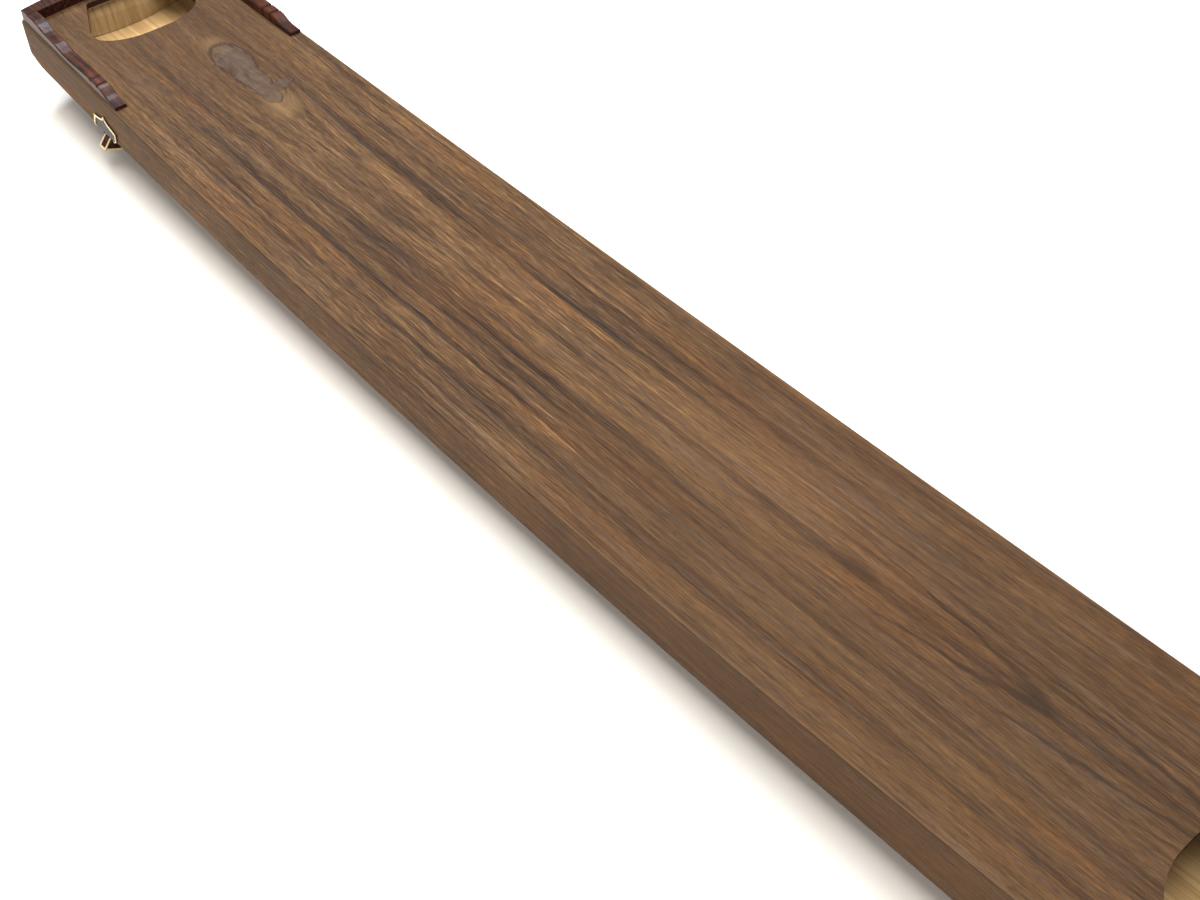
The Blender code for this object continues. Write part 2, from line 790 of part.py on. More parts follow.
def rectangle(x, y, z, hx, hy, soft):
    """Octagon: a rectangle with its four corners cut by soft."""
    return [(x - hx + soft, y - hy, z), (x + hx - soft, y - hy, z), (x + hx, y - hy + soft, z),
            (x + hx, y + hy - soft, z), (x + hx - soft, y + hy, z), (x - hx + soft, y + hy, z),
            (x - hx, y + hy - soft, z), (x - hx, y - hy + soft, z)]


def front_leg(name, side):
    """Plug-in leg: a tenon below the board and a flared foot above it."""
    top = board_z(LEG_X) + 2 * GAP
    x = LEG_X - CENTRE_X
    y = side * LEG_Y
    slope = 0.0006
    rings = [rectangle(x, y, top - TENON[2], TENON[0] - 0.001, TENON[1] - 0.001, 0.0008),
             rectangle(x, y, top - TENON[2] + 0.001, TENON[0], TENON[1], 0.0008),
             rectangle(x, y, top + slope, TENON[0], TENON[1], 0.0008)]
    for share, hx, hy in ((0.0, 0.0095, 0.0250), (0.12, 0.0105, 0.0262), (0.22, 0.0098, 0.0250),
                          (0.36, 0.0082, 0.0205), (0.55, 0.0074, 0.0180), (0.74, 0.0078, 0.0182),
                          (0.88, 0.0090, 0.0200), (0.96, 0.0092, 0.0204), (1.0, 0.0080, 0.0190)):
        rings.append(rectangle(x, y, top + slope + share * LEG_HEIGHT, hx, hy, 0.0030))
    return mesh_object(name, loft(rings), rosewood(name + "_wood"), (x, y, top), 40)


def leg_socket(name, side):
    """Block glued under the board with a blind hole for the leg's tenon."""
    top = board_z(LEG_X + SOCKET_OUTER[0]) - BOARD_THICKNESS - GAP
    top = min(top, board_z(LEG_X - SOCKET_OUTER[0]) - BOARD_THICKNESS - GAP)
    bottom = board_z(LEG_X) - SOCKET_DEPTH
    floor = board_z(LEG_X) - TENON[2] - 0.0012
    outer = socket_points(side, SOCKET_OUTER)
    inner = socket_points(side, SOCKET_HOLE)
    rings = [[(x, y, bottom) for x, y in outer], [(x, y, top) for x, y in outer],
             [(x, y, top) for x, y in inner], [(x, y, floor) for x, y in inner]]
    return mesh_object(name, loft(rings), raw_paulownia(name + "_wood"))


# ---------------------------------------------------------------- strings

def string_path(index):
    """Points of one string from its knot in the tail to its knot in the head."""
    number = index - STRING_COUNT // 2
    rise = GAP + STRING_RADIUS
    points = []
    ends = ((TAIL_HOLE_X, TAIL_BRIDGE_X, STRING_SPACING_TAIL, 1),
            (HEAD_HOLE_X, HEAD_BRIDGE_X, STRING_SPACING_HEAD, -1))
    for hole_x, bridge_x, spacing, facing in ends:
        y = number * spacing
        inside = inner_outline(hole_x).depth_at(abs(y) + KNOT_RADIUS)
        surface = outer_outline(hole_x).depth_at(abs(y))
        crest = crest_depth(centre_crest_depth(bridge_x), y)
        z_inside = board_z(hole_x) - inside + KNOT_RADIUS + 0.0030
        z_surface = board_z(hole_x) - surface
        z_crest = board_z(bridge_x) - crest - rise
        edge = CREST_HALF + GAP + GOLD_THICKNESS + 0.0004
        end = [(hole_x, y, z_inside + 0.0026, 0.5), (hole_x, y, z_inside + 0.0014, KNOT_RADIUS / STRING_RADIUS),
               (hole_x, y, z_inside - 0.0006, KNOT_RADIUS / STRING_RADIUS), (hole_x, y, z_inside - 0.0020, 1.0),
               (hole_x, y, z_surface + 0.0010, 1.0),
               (hole_x + facing * 0.0008, y, z_surface - 0.0012, 1.0),
               (bridge_x - facing * (edge + 0.0008), y, z_crest + 0.0012, 1.0),
               (bridge_x - facing * edge, y, z_crest + 0.0003, 1.0),
               (bridge_x - facing * CREST_HALF * 0.7, y, z_crest, 1.0),
               (bridge_x + facing * CREST_HALF, y, z_crest, 1.0)]
        points.extend(end if facing > 0 else list(reversed(end)))
    return points


def string(index):
    name = "string_%02d" % (index + 1)
    curve = bpy.data.curves.new(name, "CURVE")
    curve.dimensions = "3D"
    curve.bevel_depth = STRING_RADIUS
    curve.bevel_resolution = 1
    curve.use_fill_caps = True
    curve.twist_mode = "MINIMUM"
    path = string_path(index)
    spline = curve.splines.new("POLY")
    spline.points.add(len(path) - 1)
    for point, (x, y, z, scale) in zip(spline.points, path):
        point.co = (x - CENTRE_X, y, z, 1.0)
        point.radius = scale
    curve.materials.append(string_fibre(name + "_fibre"))
    return link(bpy.data.objects.new(name, curve))


# ---------------------------------------------------------------- assembly

def build_bridge(word, x, facing):
    depth = centre_crest_depth(x)
    end_bridge(word + "_bridge", x, depth)
    gold_edge(word + "_bridge_gold_inner", x, depth, facing)
    gold_edge(word + "_bridge_gold_outer", x, depth, -facing)
    saddle_plate(word + "_saddle_plate", x, facing)
    for side, hand in ((-1, "left"), (1, "right")):
        gold_end(word + "_bridge_gold_" + hand, x, depth, side)
        leaf_gold(word + "_leaf_gold_" + hand, x, facing, side)


def build():
    clear_scene()
    deck_shell()
    back_board()
    for name, x in RIB_POSITIONS.items():
        rib(name, x)
    tail_block()
    head_block()
    build_bridge("tail", TAIL_BRIDGE_X, 1)
    build_bridge("head", HEAD_BRIDGE_X, -1)
    stations = body_stations()
    cap_plate("tail_cap_plate", stations[1:7], 0.1210, 0.008)
    cap_plate("head_cap_plate", list(reversed(stations))[1:5], LENGTH - 0.0640, -0.004)
    head_tongue()
    head_tongue_frame()
    rear_foot_bar()
    for side, hand in ((-1, "left"), (1, "right")):
        rear_foot_arm("rear_foot_arm_" + hand, side)
        front_leg("front_leg_" + hand, side)
        leg_socket("leg_socket_" + hand, side)
    for index in range(STRING_COUNT):
        string(index)


build()
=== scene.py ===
"""Looks of the thirteen-string koto that lies face down on a pale table.

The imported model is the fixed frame: +X runs from the tail end to the head end, +Y is across it,
+Z is up, and z = 0 is the table. All values are metres, and every colour is linear RGB.
"""
import math

import bmesh
import bpy
from mathutils import Matrix, Vector


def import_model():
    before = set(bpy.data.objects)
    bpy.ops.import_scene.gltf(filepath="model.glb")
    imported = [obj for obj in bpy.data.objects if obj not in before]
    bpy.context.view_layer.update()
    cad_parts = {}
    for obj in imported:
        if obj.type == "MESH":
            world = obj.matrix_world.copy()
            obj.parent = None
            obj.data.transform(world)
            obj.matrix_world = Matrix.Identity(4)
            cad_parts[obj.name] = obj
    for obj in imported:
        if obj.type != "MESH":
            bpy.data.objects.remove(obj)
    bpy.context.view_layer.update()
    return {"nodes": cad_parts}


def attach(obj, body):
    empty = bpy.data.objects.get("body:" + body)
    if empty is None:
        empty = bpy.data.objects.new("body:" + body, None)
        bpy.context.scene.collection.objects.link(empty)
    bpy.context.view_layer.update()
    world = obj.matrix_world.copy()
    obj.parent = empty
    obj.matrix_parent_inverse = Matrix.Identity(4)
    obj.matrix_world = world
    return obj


# Body shape, as the CAD source has it
LENGTH = 1.790
HEAD_STEP = 0.005         # the head end's frame stands this much proud
CENTRE_X = LENGTH / 2 + HEAD_STEP / 2
END_BOW = 0.015
HALF_WIDTH_TAIL = 0.1200
HALF_WIDTH_HEAD = 0.1239
SIDE_BULGE = 0.0129
SORI = 0.0240             # lengthwise bow
BOARD_TOP = 0.1108
DECK_DEPTH_TAIL = 0.0754
DECK_DEPTH_HEAD = 0.0890
ARCH_RADIUS = 0.400

# Strings
STRING_COUNT = 13
TAIL_HOLE_X = 0.1440
HEAD_HOLE_X = 1.7130
STRING_SPACING_TAIL = 0.0155
STRING_SPACING_HEAD = 0.0163

# Bone ring round a string hole: (radius, height above the deck) along its outline
RING_PROFILE = [(0.0021, 0.0000), (0.0021, 0.0006), (0.0024, 0.0010), (0.0029, 0.0010),
                (0.0034, 0.0006), (0.0036, 0.0000)]
RING_STEPS = 24
RING_SINK = 0.0002

# Places in the wood's figure, and one patch of painted sheen, as x from the tail end and y across:
# centre, half sizes, turn
KNOT_LOBES = [((0.2260, 0.0310), (0.0370, 0.0200), 0.0), ((0.2700, 0.0290), (0.0330, 0.0160), 0.0),
              ((0.3010, 0.0440), (0.0085, 0.0190), 0.0), ((0.3080, 0.0260), (0.0200, 0.0100), 0.1)]
KNOT_HALOS = [((0.184, 0.0310), (0.016, 0.0130), 0.2), ((0.334, 0.0290), (0.024, 0.0190), 0.3)]
KNOT_SURROUND = ((0.262, 0.0300), (0.100, 0.032), 0.08)
# Painted sheen: a lighter patch that stands in for a light's broad reflection on the board
SHEEN_PATCH = ((1.10, 0.045), (0.16, 0.060), 0.05)
SMUDGE = ((0.466, 0.037), (0.020, 0.0045), 0.2)
RINGS_TIP = (1.49, 0.016)

# Grain of the scorched wood
YEARS_PER_METRE = 88.0
SHELL_PITH = (-0.004, 0.150)    # pith line: y, and depth below the back board
BOARD_PITH = (0.012, 0.030)
BUMP_DEPTH = 0.00035
WOOD_SPECULAR = 0.11

# Rear foot's arms, as x from the tail end
ARM_GROOVES = (0.1720, 0.1876)

# Colours
BURNT_STOPS = [(0.00, (0.014, 0.0080, 0.0050)), (0.25, (0.036, 0.0190, 0.0098)),
               (0.50, (0.076, 0.0390, 0.0175)), (0.72, (0.128, 0.0670, 0.0275)),
               (1.00, (0.250, 0.1400, 0.0600))]
BARE_STOPS = [(0.25, (0.40, 0.245, 0.105)), (0.50, (0.54, 0.355, 0.160)), (0.80, (0.68, 0.480, 0.245))]
END_STOPS = [(0.35, (0.040, 0.021, 0.011)), (0.65, (0.095, 0.052, 0.026))]
KNOT_STOPS = [(0.36, (0.046, 0.030, 0.022)), (0.64, (0.108, 0.079, 0.063))]
ROSEWOOD_STOPS = [(0.30, (0.012, 0.004, 0.003)), (0.50, (0.032, 0.009, 0.006)),
                  (0.75, (0.072, 0.020, 0.009))]
LACQUER_STOPS = [(0.3, (0.010, 0.010, 0.011)), (0.7, (0.020, 0.019, 0.020))]
GOLD_STOPS = [(0.25, (0.80, 0.58, 0.28)), (0.55, (0.93, 0.76, 0.42)), (0.80, (0.99, 0.88, 0.58))]
BONE_STOPS = [(0.3, (0.62, 0.55, 0.40)), (0.7, (0.78, 0.72, 0.58))]
TABLE_STOPS = [(0.3, (0.85, 0.800, 0.735)), (0.7, (0.88, 0.840, 0.780))]
PORE_COLOUR = (0.026, 0.016, 0.012)
RING_LINE_COLOUR = (0.026, 0.015, 0.009)
SMUDGE_COLOUR = (0.036, 0.024, 0.020)
HALO_COLOUR = (0.185, 0.110, 0.046)
KNOT_RIM_COLOUR = (0.034, 0.018, 0.011)
WORN_COLOUR = (0.165, 0.100, 0.055)
CUT_COLOUR = (0.030, 0.011, 0.007)
# Painted shade for the recesses of the foot arms' cross grooves
GROOVE_SHADE_COLOUR = (0.010, 0.004, 0.004)

# Camera and floor
CAMERA_PLACE = (0.76845, -0.67383, 1.08199)
CAMERA_TARGET = (0.20584, -0.17456, 0.27937)
CAMERA_LENS = 45.506
FLOOR_HALF = 14.0

WHOLE_PART = "instrument"


# ---------------------------------------------------------------- shader node helper

class Net:
    """A material's node tree with short calls for the nodes used here."""

    def __init__(self, name):
        self.material = bpy.data.materials.new(name)
        self.material.use_nodes = True
        self.tree = self.material.node_tree
        self.shader = self.tree.nodes["Principled BSDF"]
        self.place = self.node("ShaderNodeTexCoord").outputs["Object"]
        split = self.node("ShaderNodeSeparateXYZ")
        self.link(self.place, split.inputs[0])
        self.x, self.y, self.z = split.outputs

    def node(self, kind, **settings):
        made = self.tree.nodes.new(kind)
        for key, value in settings.items():
            setattr(made, key, value)
        return made

    def link(self, source, socket):
        self.tree.links.new(source, socket)

    def feed(self, socket, value):
        """Link a socket to another node's output, or set its plain value."""
        if isinstance(value, bpy.types.NodeSocket):
            self.link(value, socket)
        else:
            socket.default_value = value

    def math(self, operation, *values):
        made = self.node("ShaderNodeMath", operation=operation)
        for socket, value in zip(made.inputs, values):
            self.feed(socket, value)
        return made.outputs[0]

    def add(self, *values):
        total = values[0]
        for value in values[1:]:
            total = self.math("ADD", total, value)
        return total

    def scaled(self, value, factor, offset=0.0):
        return self.math("MULTIPLY_ADD", value, factor, offset)

    def quadratic(self, value, constant, linear, square):
        """constant + linear * value + square * value ** 2"""
        inner = self.scaled(value, square, linear)
        return self.math("MULTIPLY_ADD", inner, value, constant)

    def distance(self, first, second):
        """Length of the vector with these two coordinates."""
        squares = self.add(self.math("MULTIPLY", first, first), self.math("MULTIPLY", second, second))
        return self.math("SQRT", squares)

    def step(self, value, low, high):
        """0 at low and 1 at high, smooth between them; low may be above high."""
        made = self.node("ShaderNodeMapRange", interpolation_type="SMOOTHSTEP")
        self.feed(made.inputs["Value"], value)
        start, end = (0.0, 1.0) if low < high else (1.0, 0.0)
        made.inputs["From Min"].default_value = min(low, high)
        made.inputs["From Max"].default_value = max(low, high)
        made.inputs["To Min"].default_value = start
        made.inputs["To Max"].default_value = end
        return made.outputs["Result"]

    def point(self, x, y, z):
        made = self.node("ShaderNodeCombineXYZ")
        for socket, value in zip(made.inputs, (x, y, z)):
            self.feed(socket, value)
        return made.outputs[0]

    def noise(self, vector, scale, detail=2.0, roughness=0.5):
        made = self.node("ShaderNodeTexNoise")
        self.feed(made.inputs["Vector"], vector)
        made.inputs["Scale"].default_value = scale
        made.inputs["Detail"].default_value = detail
        made.inputs["Roughness"].default_value = roughness
        return made.outputs["Fac"]

    def drift(self, along, value, rate, third, detail=2.0, roughness=0.5):
        """Noise that varies along times per metre in x, and rate times in the given value."""
        vector = self.point(self.scaled(self.x, along), self.scaled(value, rate), third)
        return self.noise(vector, 1.0, detail, roughness)

    def grain(self, x, across, depth, length, width, detail=2.0, roughness=0.5, seed=0.0):
        """Noise drawn out along the grain: streaks about length long and width wide."""
        vector = self.point(self.scaled(x, 1 / length, seed),
                            self.scaled(across, 1 / width, seed * 1.7),
                            self.scaled(depth, 1 / width, seed * 0.6))
        return self.noise(vector, 1.0, detail, roughness)

    def mix(self, factor, first, second, blend="MIX"):
        made = self.node("ShaderNodeMix", data_type="RGBA", blend_type=blend)
        self.feed(made.inputs[0], factor)
        for socket, value in ((made.inputs[6], first), (made.inputs[7], second)):
            self.feed(socket, value if isinstance(value, bpy.types.NodeSocket) else (*value, 1.0))
        return made.outputs[2]

    def ramp(self, value, stops):
        """Colour ramp; stops is a list of (position, colour)."""
        made = self.node("ShaderNodeValToRGB")
        self.feed(made.inputs[0], value)
        elements = made.color_ramp.elements
        while len(elements) < len(stops):
            elements.new(1.0)
        for element, (position, colour) in zip(elements, stops):
            element.position = position
            element.color = (*colour, 1.0)
        return made.outputs[0]

    def bump(self, height, distance, strength=1.0):
        made = self.node("ShaderNodeBump")
        made.inputs["Strength"].default_value = strength
        made.inputs["Distance"].default_value = distance
        self.feed(made.inputs["Height"], height)
        self.link(made.outputs[0], self.shader.inputs["Normal"])

    def set(self, **values):
        """Set or link the shader's own sockets, for instance base_color or roughness."""
        for key, value in values.items():
            socket = self.shader.inputs[key.replace("_", " ").title().replace("Ior", "IOR")]
            self.feed(socket, value)
        return self.material


def from_tail(net):
    """The shaded point's x measured from the body's tail end."""
    return net.scaled(net.x, 1.0, CENTRE_X)


def half_width(net):
    """The body's half width at the shaded point."""
    shift = CENTRE_X - LENGTH / 2
    reach = LENGTH / 2
    taper = (HALF_WIDTH_HEAD - HALF_WIDTH_TAIL) / LENGTH
    bulge = SIDE_BULGE / reach ** 2
    constant = HALF_WIDTH_TAIL + taper * CENTRE_X + SIDE_BULGE - bulge * shift ** 2
    return net.quadratic(net.x, constant, taper - 2 * bulge * shift, -bulge)


def board_height(net):
    """Height of the back board's surface at the shaded point."""
    shift = CENTRE_X - LENGTH / 2
    bow = SORI / (LENGTH / 2) ** 2
    return net.quadratic(net.x, BOARD_TOP - SORI + bow * shift ** 2, 2 * bow * shift, bow)


def ellipse(net, x, y, centre, halves, turn):
    """Distance field of a tilted ellipse: 1 on its edge, less inside."""
    dx = net.scaled(x, 1.0, -centre[0])
    dy = net.scaled(y, 1.0, -centre[1])
    c = math.cos(turn)
    s = math.sin(turn)
    u = net.add(net.scaled(dx, c / halves[0]), net.scaled(dy, s / halves[0]))
    v = net.add(net.scaled(dx, -s / halves[1]), net.scaled(dy, c / halves[1]))
    return net.distance(u, v)


# ---------------------------------------------------------------- scorched wood

class Grain:
    """Where a shaded point of scorched wood lies in the tree it was sawn from."""

    def __init__(self, net, pith, knots):
        pith_y, pith_depth = pith
        self.net = net
        # 1 up to 0.22 m from the place 0.30 m tailwards of the part's origin, 0 from 0.50 m on
        self.middle = net.step(net.math("ABSOLUTE", net.scaled(net.x, 1.0, 0.30)), 0.50, 0.22)
        self.across = net.add(net.scaled(net.y, 1.0, -pith_y), self.sway())
        self.knot = None
        if knots:
            self.knot, self.across = knot_field(net, self.across)
        lift = net.noise(net.point(net.scaled(net.x, 1.9), 4.0, 9.0), 1.0, 2)
        depth = net.scaled(lift, 0.030, pith_depth - 0.015)
        depth = net.math("SUBTRACT", depth, net.scaled(net.z, 1.0, -BOARD_TOP))
        self.ring = net.distance(self.across, depth)

    def sway(self):
        """Slow and short sideways waves of the grain."""
        net = self.net
        slow = net.drift(1.3, net.y, 5.0, net.scaled(net.z, 5.0), 1)
        ripple = net.drift(20.0, net.y, 30.0, 3.1, 1)
        ripple = net.math("MULTIPLY", net.scaled(ripple, 1.0, -0.5),
                          net.scaled(self.middle, 0.0040, 0.0006))
        return net.add(net.scaled(slow, 0.020, -0.010), ripple)

    def late_wood(self):
        """1 on the narrow dark line that ends each year's ring."""
        net = self.net
        uneven = net.drift(0.5, self.ring, 30.0, 2.5, 2)
        year = net.math("FRACT", net.add(net.scaled(self.ring, YEARS_PER_METRE), net.scaled(uneven, 3.0)))
        return net.math("MULTIPLY", net.step(year, 0.62, 0.90), net.step(year, 0.995, 0.93))

    def streaks(self, length, width, detail, roughness, seed):
        return self.net.grain(self.net.x, self.across, self.net.z, length, width, detail, roughness, seed)


def burnt_tone(grain, streak, dash, fibre, late):
    """How light the scorched wood is, from dark rings and bands to bright brushed fibres."""
    net = grain.net
    bands = net.drift(1.8, grain.ring, 68.0, 1.5, 3, 0.62)
    lines = net.drift(3.0, grain.across, 210.0, 4.5, 2, 0.55)
    cloud = net.drift(5.0, net.y, 14.0, net.z, 3, 0.55)
    stripe = net.step(net.drift(1.1, grain.across, 85.0, 8.5, 1, 0.5), 0.54, 0.68)
    fine = net.add(net.scaled(streak, 0.90, -0.45), net.scaled(dash, 1.15, -0.575),
                   net.scaled(fibre, 0.75, -0.375))
    tone = net.add(fine, net.scaled(bands, 0.80, -0.40), net.scaled(lines, 0.48, -0.24),
                   net.scaled(cloud, 0.35, -0.175), net.scaled(late, -0.11, 0.03),
                   net.scaled(stripe, -0.22, 0.04))
    return net.math("MULTIPLY_ADD", tone, net.scaled(grain.middle, 0.42, 0.50), 0.515)


def burnt_tints(grain, colour, pore):
    """Warm zones, bluish-grey streaks of painted sheen, dark pores and one lighter patch of painted sheen
    over the scorched colour.
    """
    net = grain.net
    warm = net.step(net.drift(4.0, grain.ring, 36.0, 7.0, 2), 0.46, 0.66)
    warmer = net.mix(1.0, colour, (1.12, 0.98, 0.84), "MULTIPLY")
    colour = net.mix(net.scaled(warm, 0.60), colour, warmer)
    # Painted sheen: bluish-grey streaks stand in for the sheen of lights on the brushed grain.
    sheen_streak = net.step(grain.streaks(0.200, 0.0050, 3, 0.6, 17.0), 0.50, 0.66)
    sheen_grey = net.mix(1.0, colour, (0.018, 0.021, 0.023), "ADD")
    colour = net.mix(net.scaled(sheen_streak, 0.42), colour, sheen_grey)
    colour = net.mix(net.scaled(net.step(pore, 0.40, 0.30), 0.55), colour, PORE_COLOUR)
    # Painted sheen: the colour is lightened in one patch as a broad reflection would lighten it.
    patch = ellipse(net, from_tail(net), net.y, *SHEEN_PATCH)
    sheen_brighter = net.mix(1.0, colour, (1.42, 1.40, 1.42), "MULTIPLY")
    return net.mix(net.scaled(net.step(patch, 1.4, 0.2), 0.75), colour, sheen_brighter)


def burnt_paulownia(name, pith, knots):
    """Scorched and brushed paulownia: its net and grain, colour, relief and roughness."""
    net = Net(name)
    grain = Grain(net, pith, knots)
    late = grain.late_wood()
    streak = grain.streaks(0.070, 0.0017, 2, 0.60, 5.1)
    dash = grain.streaks(0.026, 0.0010, 2, 0.60, 11.3)
    fibre = grain.streaks(0.012, 0.00060, 2, 0.55, 7.7)
    pore = grain.streaks(0.012, 0.00055, 1, 0.50, 1.9)
    colour = net.ramp(burnt_tone(grain, streak, dash, fibre, late), BURNT_STOPS)
    colour = burnt_tints(grain, colour, pore)
    height = net.add(net.scaled(streak, 0.5), net.scaled(dash, 0.7), net.scaled(fibre, 0.7),
                     net.scaled(pore, 0.6), net.scaled(late, 0.10))
    rough = net.scaled(dash, 0.30, 0.48)
    return grain, colour, height, rough


def knot_field(net, across):
    """Distance to the covered knot's figure, and the grain coordinate pushed aside around it."""
    wobble = net.drift(70.0, net.y, 95.0, 2.0, 4, 0.65)
    x = net.add(net.x, net.scaled(wobble, 0.024, -0.012 + CENTRE_X))
    y = net.add(net.y, net.scaled(wobble, -0.020, 0.010))
    lobes = [ellipse(net, x, y, *lobe) for lobe in KNOT_LOBES]
    field = lobes[0]
    for lobe in lobes[1:]:
        field = net.math("SMOOTH_MIN", field, lobe, 0.25)
    around = ellipse(net, from_tail(net), net.y, *KNOT_SURROUND)
    push = net.math("DIVIDE", 0.0085, net.math("POWER", net.math("MAXIMUM", around, 0.5), 2.0))
    middle_y = KNOT_SURROUND[0][1]
    side = net.step(net.scaled(net.y, 1.0, -middle_y), -0.030, 0.030)
    push = net.math("MULTIPLY", push, net.scaled(side, -2.0, 1.0))
    return field, net.add(across, push)


def knot_tones(net, colour, knot):
    """The knot's pale halos, its mottled inside and its dark rim."""
    x = from_tail(net)
    halos = [ellipse(net, x, net.y, *halo) for halo in KNOT_HALOS]
    glow = net.math("MAXIMUM", net.step(halos[0], 1.5, 0.3), net.step(halos[1], 1.6, 0.4))
    colour = net.mix(net.scaled(glow, 0.50), colour, HALO_COLOUR)
    mottled = net.drift(60.0, net.y, 130.0, net.z, 4, 0.65)
    inside = net.step(knot, 1.03, 0.92)
    colour = net.mix(net.scaled(inside, 0.56), colour, net.ramp(mottled, KNOT_STOPS))
    rim = net.math("MULTIPLY", net.step(knot, 1.18, 1.02), net.step(knot, 0.90, 1.00))
    return net.mix(net.scaled(rim, 0.75), colour, KNOT_RIM_COLOUR)


def cathedral(net, colour):
    """Dark pointed growth rings near the head end's sound hole, and a smudge near the tail."""
    tip_x, tip_y = RINGS_TIP
    sway = net.drift(22.0, net.y, 60.0, 6.0, 2)
    x = net.scaled(net.x, 1.0, CENTRE_X - tip_x)
    y = net.add(net.scaled(net.y, 1.0, -tip_y), net.scaled(sway, 0.014, -0.007))
    spread = net.add(net.math("MULTIPLY", net.math("MULTIPLY", y, y), 240.0), x)
    wave = net.math("FRACT", net.scaled(spread, 5.5, 8.0))
    line = net.math("ABSOLUTE", net.math("SUBTRACT", wave, 0.5))
    near = net.math("MULTIPLY", net.step(net.math("ABSOLUTE", y), 0.050, 0.020),
                    net.step(net.math("ABSOLUTE", net.scaled(x, 1.0, 0.05)), 0.34, 0.14))
    dark = net.math("MULTIPLY", net.step(line, 0.16, 0.03), near)
    colour = net.mix(net.scaled(dark, 0.62), colour, RING_LINE_COLOUR)
    smudge = ellipse(net, from_tail(net), net.y, *SMUDGE)
    return net.mix(net.scaled(net.step(smudge, 1.5, 0.4), 0.45), colour, SMUDGE_COLOUR)


def board_edges(net, colour):
    """Worn long edges, the dark cut edges of the sound holes and the bare wood under them."""
    edge = net.math("SUBTRACT", half_width(net), net.math("ABSOLUTE", net.y))
    rub = net.drift(40.0, net.y, 300.0, 5.0, 3, 0.6)
    worn = net.step(net.add(edge, net.scaled(rub, 0.0040, -0.0020)), 0.0036, 0.0010)
    colour = net.mix(net.scaled(worn, 0.45), colour, WORN_COLOUR)
    sink = net.math("SUBTRACT", board_height(net), net.z)
    cut = net.math("MULTIPLY", net.step(sink, 0.0002, 0.0010), net.step(edge, 0.012, 0.022))
    colour = net.mix(net.scaled(cut, 0.95), colour, CUT_COLOUR)
    return net.mix(net.step(sink, 0.0070, 0.0078), colour, raw_grain(net, 0.62))


def board_wood():
    """Outer face of the back board, its mitred edges and the cut edges of the sound holes."""
    grain, colour, height, rough = burnt_paulownia("board_scorched_wood", BOARD_PITH, True)
    net = grain.net
    colour = knot_tones(net, colour, grain.knot)
    colour = board_edges(net, cathedral(net, colour))
    net.bump(height, BUMP_DEPTH, 0.9)
    return net.set(base_color=colour, roughness=rough, specular_ior_level=WOOD_SPECULAR)


def shell_wood():
    """Sides and arched deck are scorched; the carved hollow is bare wood."""
    grain, colour, height, rough = burnt_paulownia("deck_scorched_wood", SHELL_PITH, False)
    net = grain.net
    depth = net.math("SUBTRACT", board_height(net), net.z)
    side = net.math("SUBTRACT", half_width(net), net.math("ABSOLUTE", net.y))
    slope = (DECK_DEPTH_HEAD - DECK_DEPTH_TAIL) / LENGTH
    deck = net.scaled(net.x, slope, DECK_DEPTH_TAIL + slope * CENTRE_X)
    fall = net.math("SUBTRACT", depth, net.scaled(deck, 1.0, -ARCH_RADIUS))
    wall = net.scaled(net.distance(net.y, fall), -1.0, ARCH_RADIUS)
    inner = net.math("MULTIPLY", net.step(side, 0.0095, 0.0110), net.step(wall, 0.0095, 0.0120))
    colour = net.mix(inner, colour, raw_grain(net, 1.0))
    net.bump(height, BUMP_DEPTH, 0.9)
    return net.set(base_color=colour, roughness=rough, specular_ior_level=WOOD_SPECULAR)


# ---------------------------------------------------------------- bare wood and rosewood

def raw_grain(net, brightness):
    """Colour of bare paulownia at the shaded point."""
    wave = net.drift(6.0, net.y, 20.0, net.scaled(net.z, 20.0), 2)
    across = net.add(net.y, net.scaled(wave, 0.010))
    level = net.scaled(net.z, 0.08)
    bands = net.grain(net.x, across, level, 0.60, 0.0065, 3, 0.55, 3.7)
    fibre = net.grain(net.x, across, level, 0.040, 0.0009, 2, 0.50, 8.2)
    tone = net.add(net.scaled(bands, 1.20, -0.20), net.scaled(fibre, 0.45, -0.225))
    stops = [(position, tuple(c * brightness for c in colour)) for position, colour in BARE_STOPS]
    return net.ramp(tone, stops)


def raw_wood(name, brightness):
    """Bare paulownia inside the body. Its scorched zone covers only part of the body's end faces."""
    net = Net(name)
    colour = raw_grain(net, brightness)
    share = net.math("POWER", net.scaled(net.y, 1 / HALF_WIDTH_TAIL), 2.0)
    end = net.scaled(share, -END_BOW, LENGTH / 2 + END_BOW)
    away = net.math("ABSOLUTE", net.scaled(net.x, 1.0, CENTRE_X - LENGTH / 2))
    inset = net.math("SUBTRACT", end, away)
    scorched = net.ramp(net.grain(net.z, net.y, 0.0, 0.030, 0.0012, 3, 0.6, 1.3), END_STOPS)
    colour = net.mix(net.step(inset, 0.0075, 0.0050), colour, scorched)
    fibre = net.grain(net.x, net.y, net.z, 0.030, 0.0008, 2, 0.5, 4.4)
    net.bump(fibre, 0.00015, 0.6)
    return net.set(base_color=colour, roughness=net.scaled(fibre, 0.2, 0.55), specular_ior_level=0.3)


def rosewood(name, grooves=False):
    """Dark red-brown wood with blackish veins under a satin finish."""
    net = Net(name)
    sway = net.drift(9.0, net.y, 40.0, net.scaled(net.z, 40.0), 2)
    across = net.add(net.y, net.scaled(sway, 0.010))
    vein = net.grain(net.x, across, net.z, 0.180, 0.0042, 3, 0.6, 2.9)
    fibre = net.grain(net.x, across, net.z, 0.012, 0.0005, 2, 0.5, 6.3)
    colour = net.ramp(net.add(net.scaled(vein, 1.4, -0.2), net.scaled(fibre, 0.4, -0.2)), ROSEWOOD_STOPS)
    if grooves:
        colour = arm_tones(net, colour)
    net.bump(fibre, 0.00006, 0.5)
    return net.set(base_color=colour, roughness=net.scaled(vein, 0.12, 0.24), specular_ior_level=0.14)


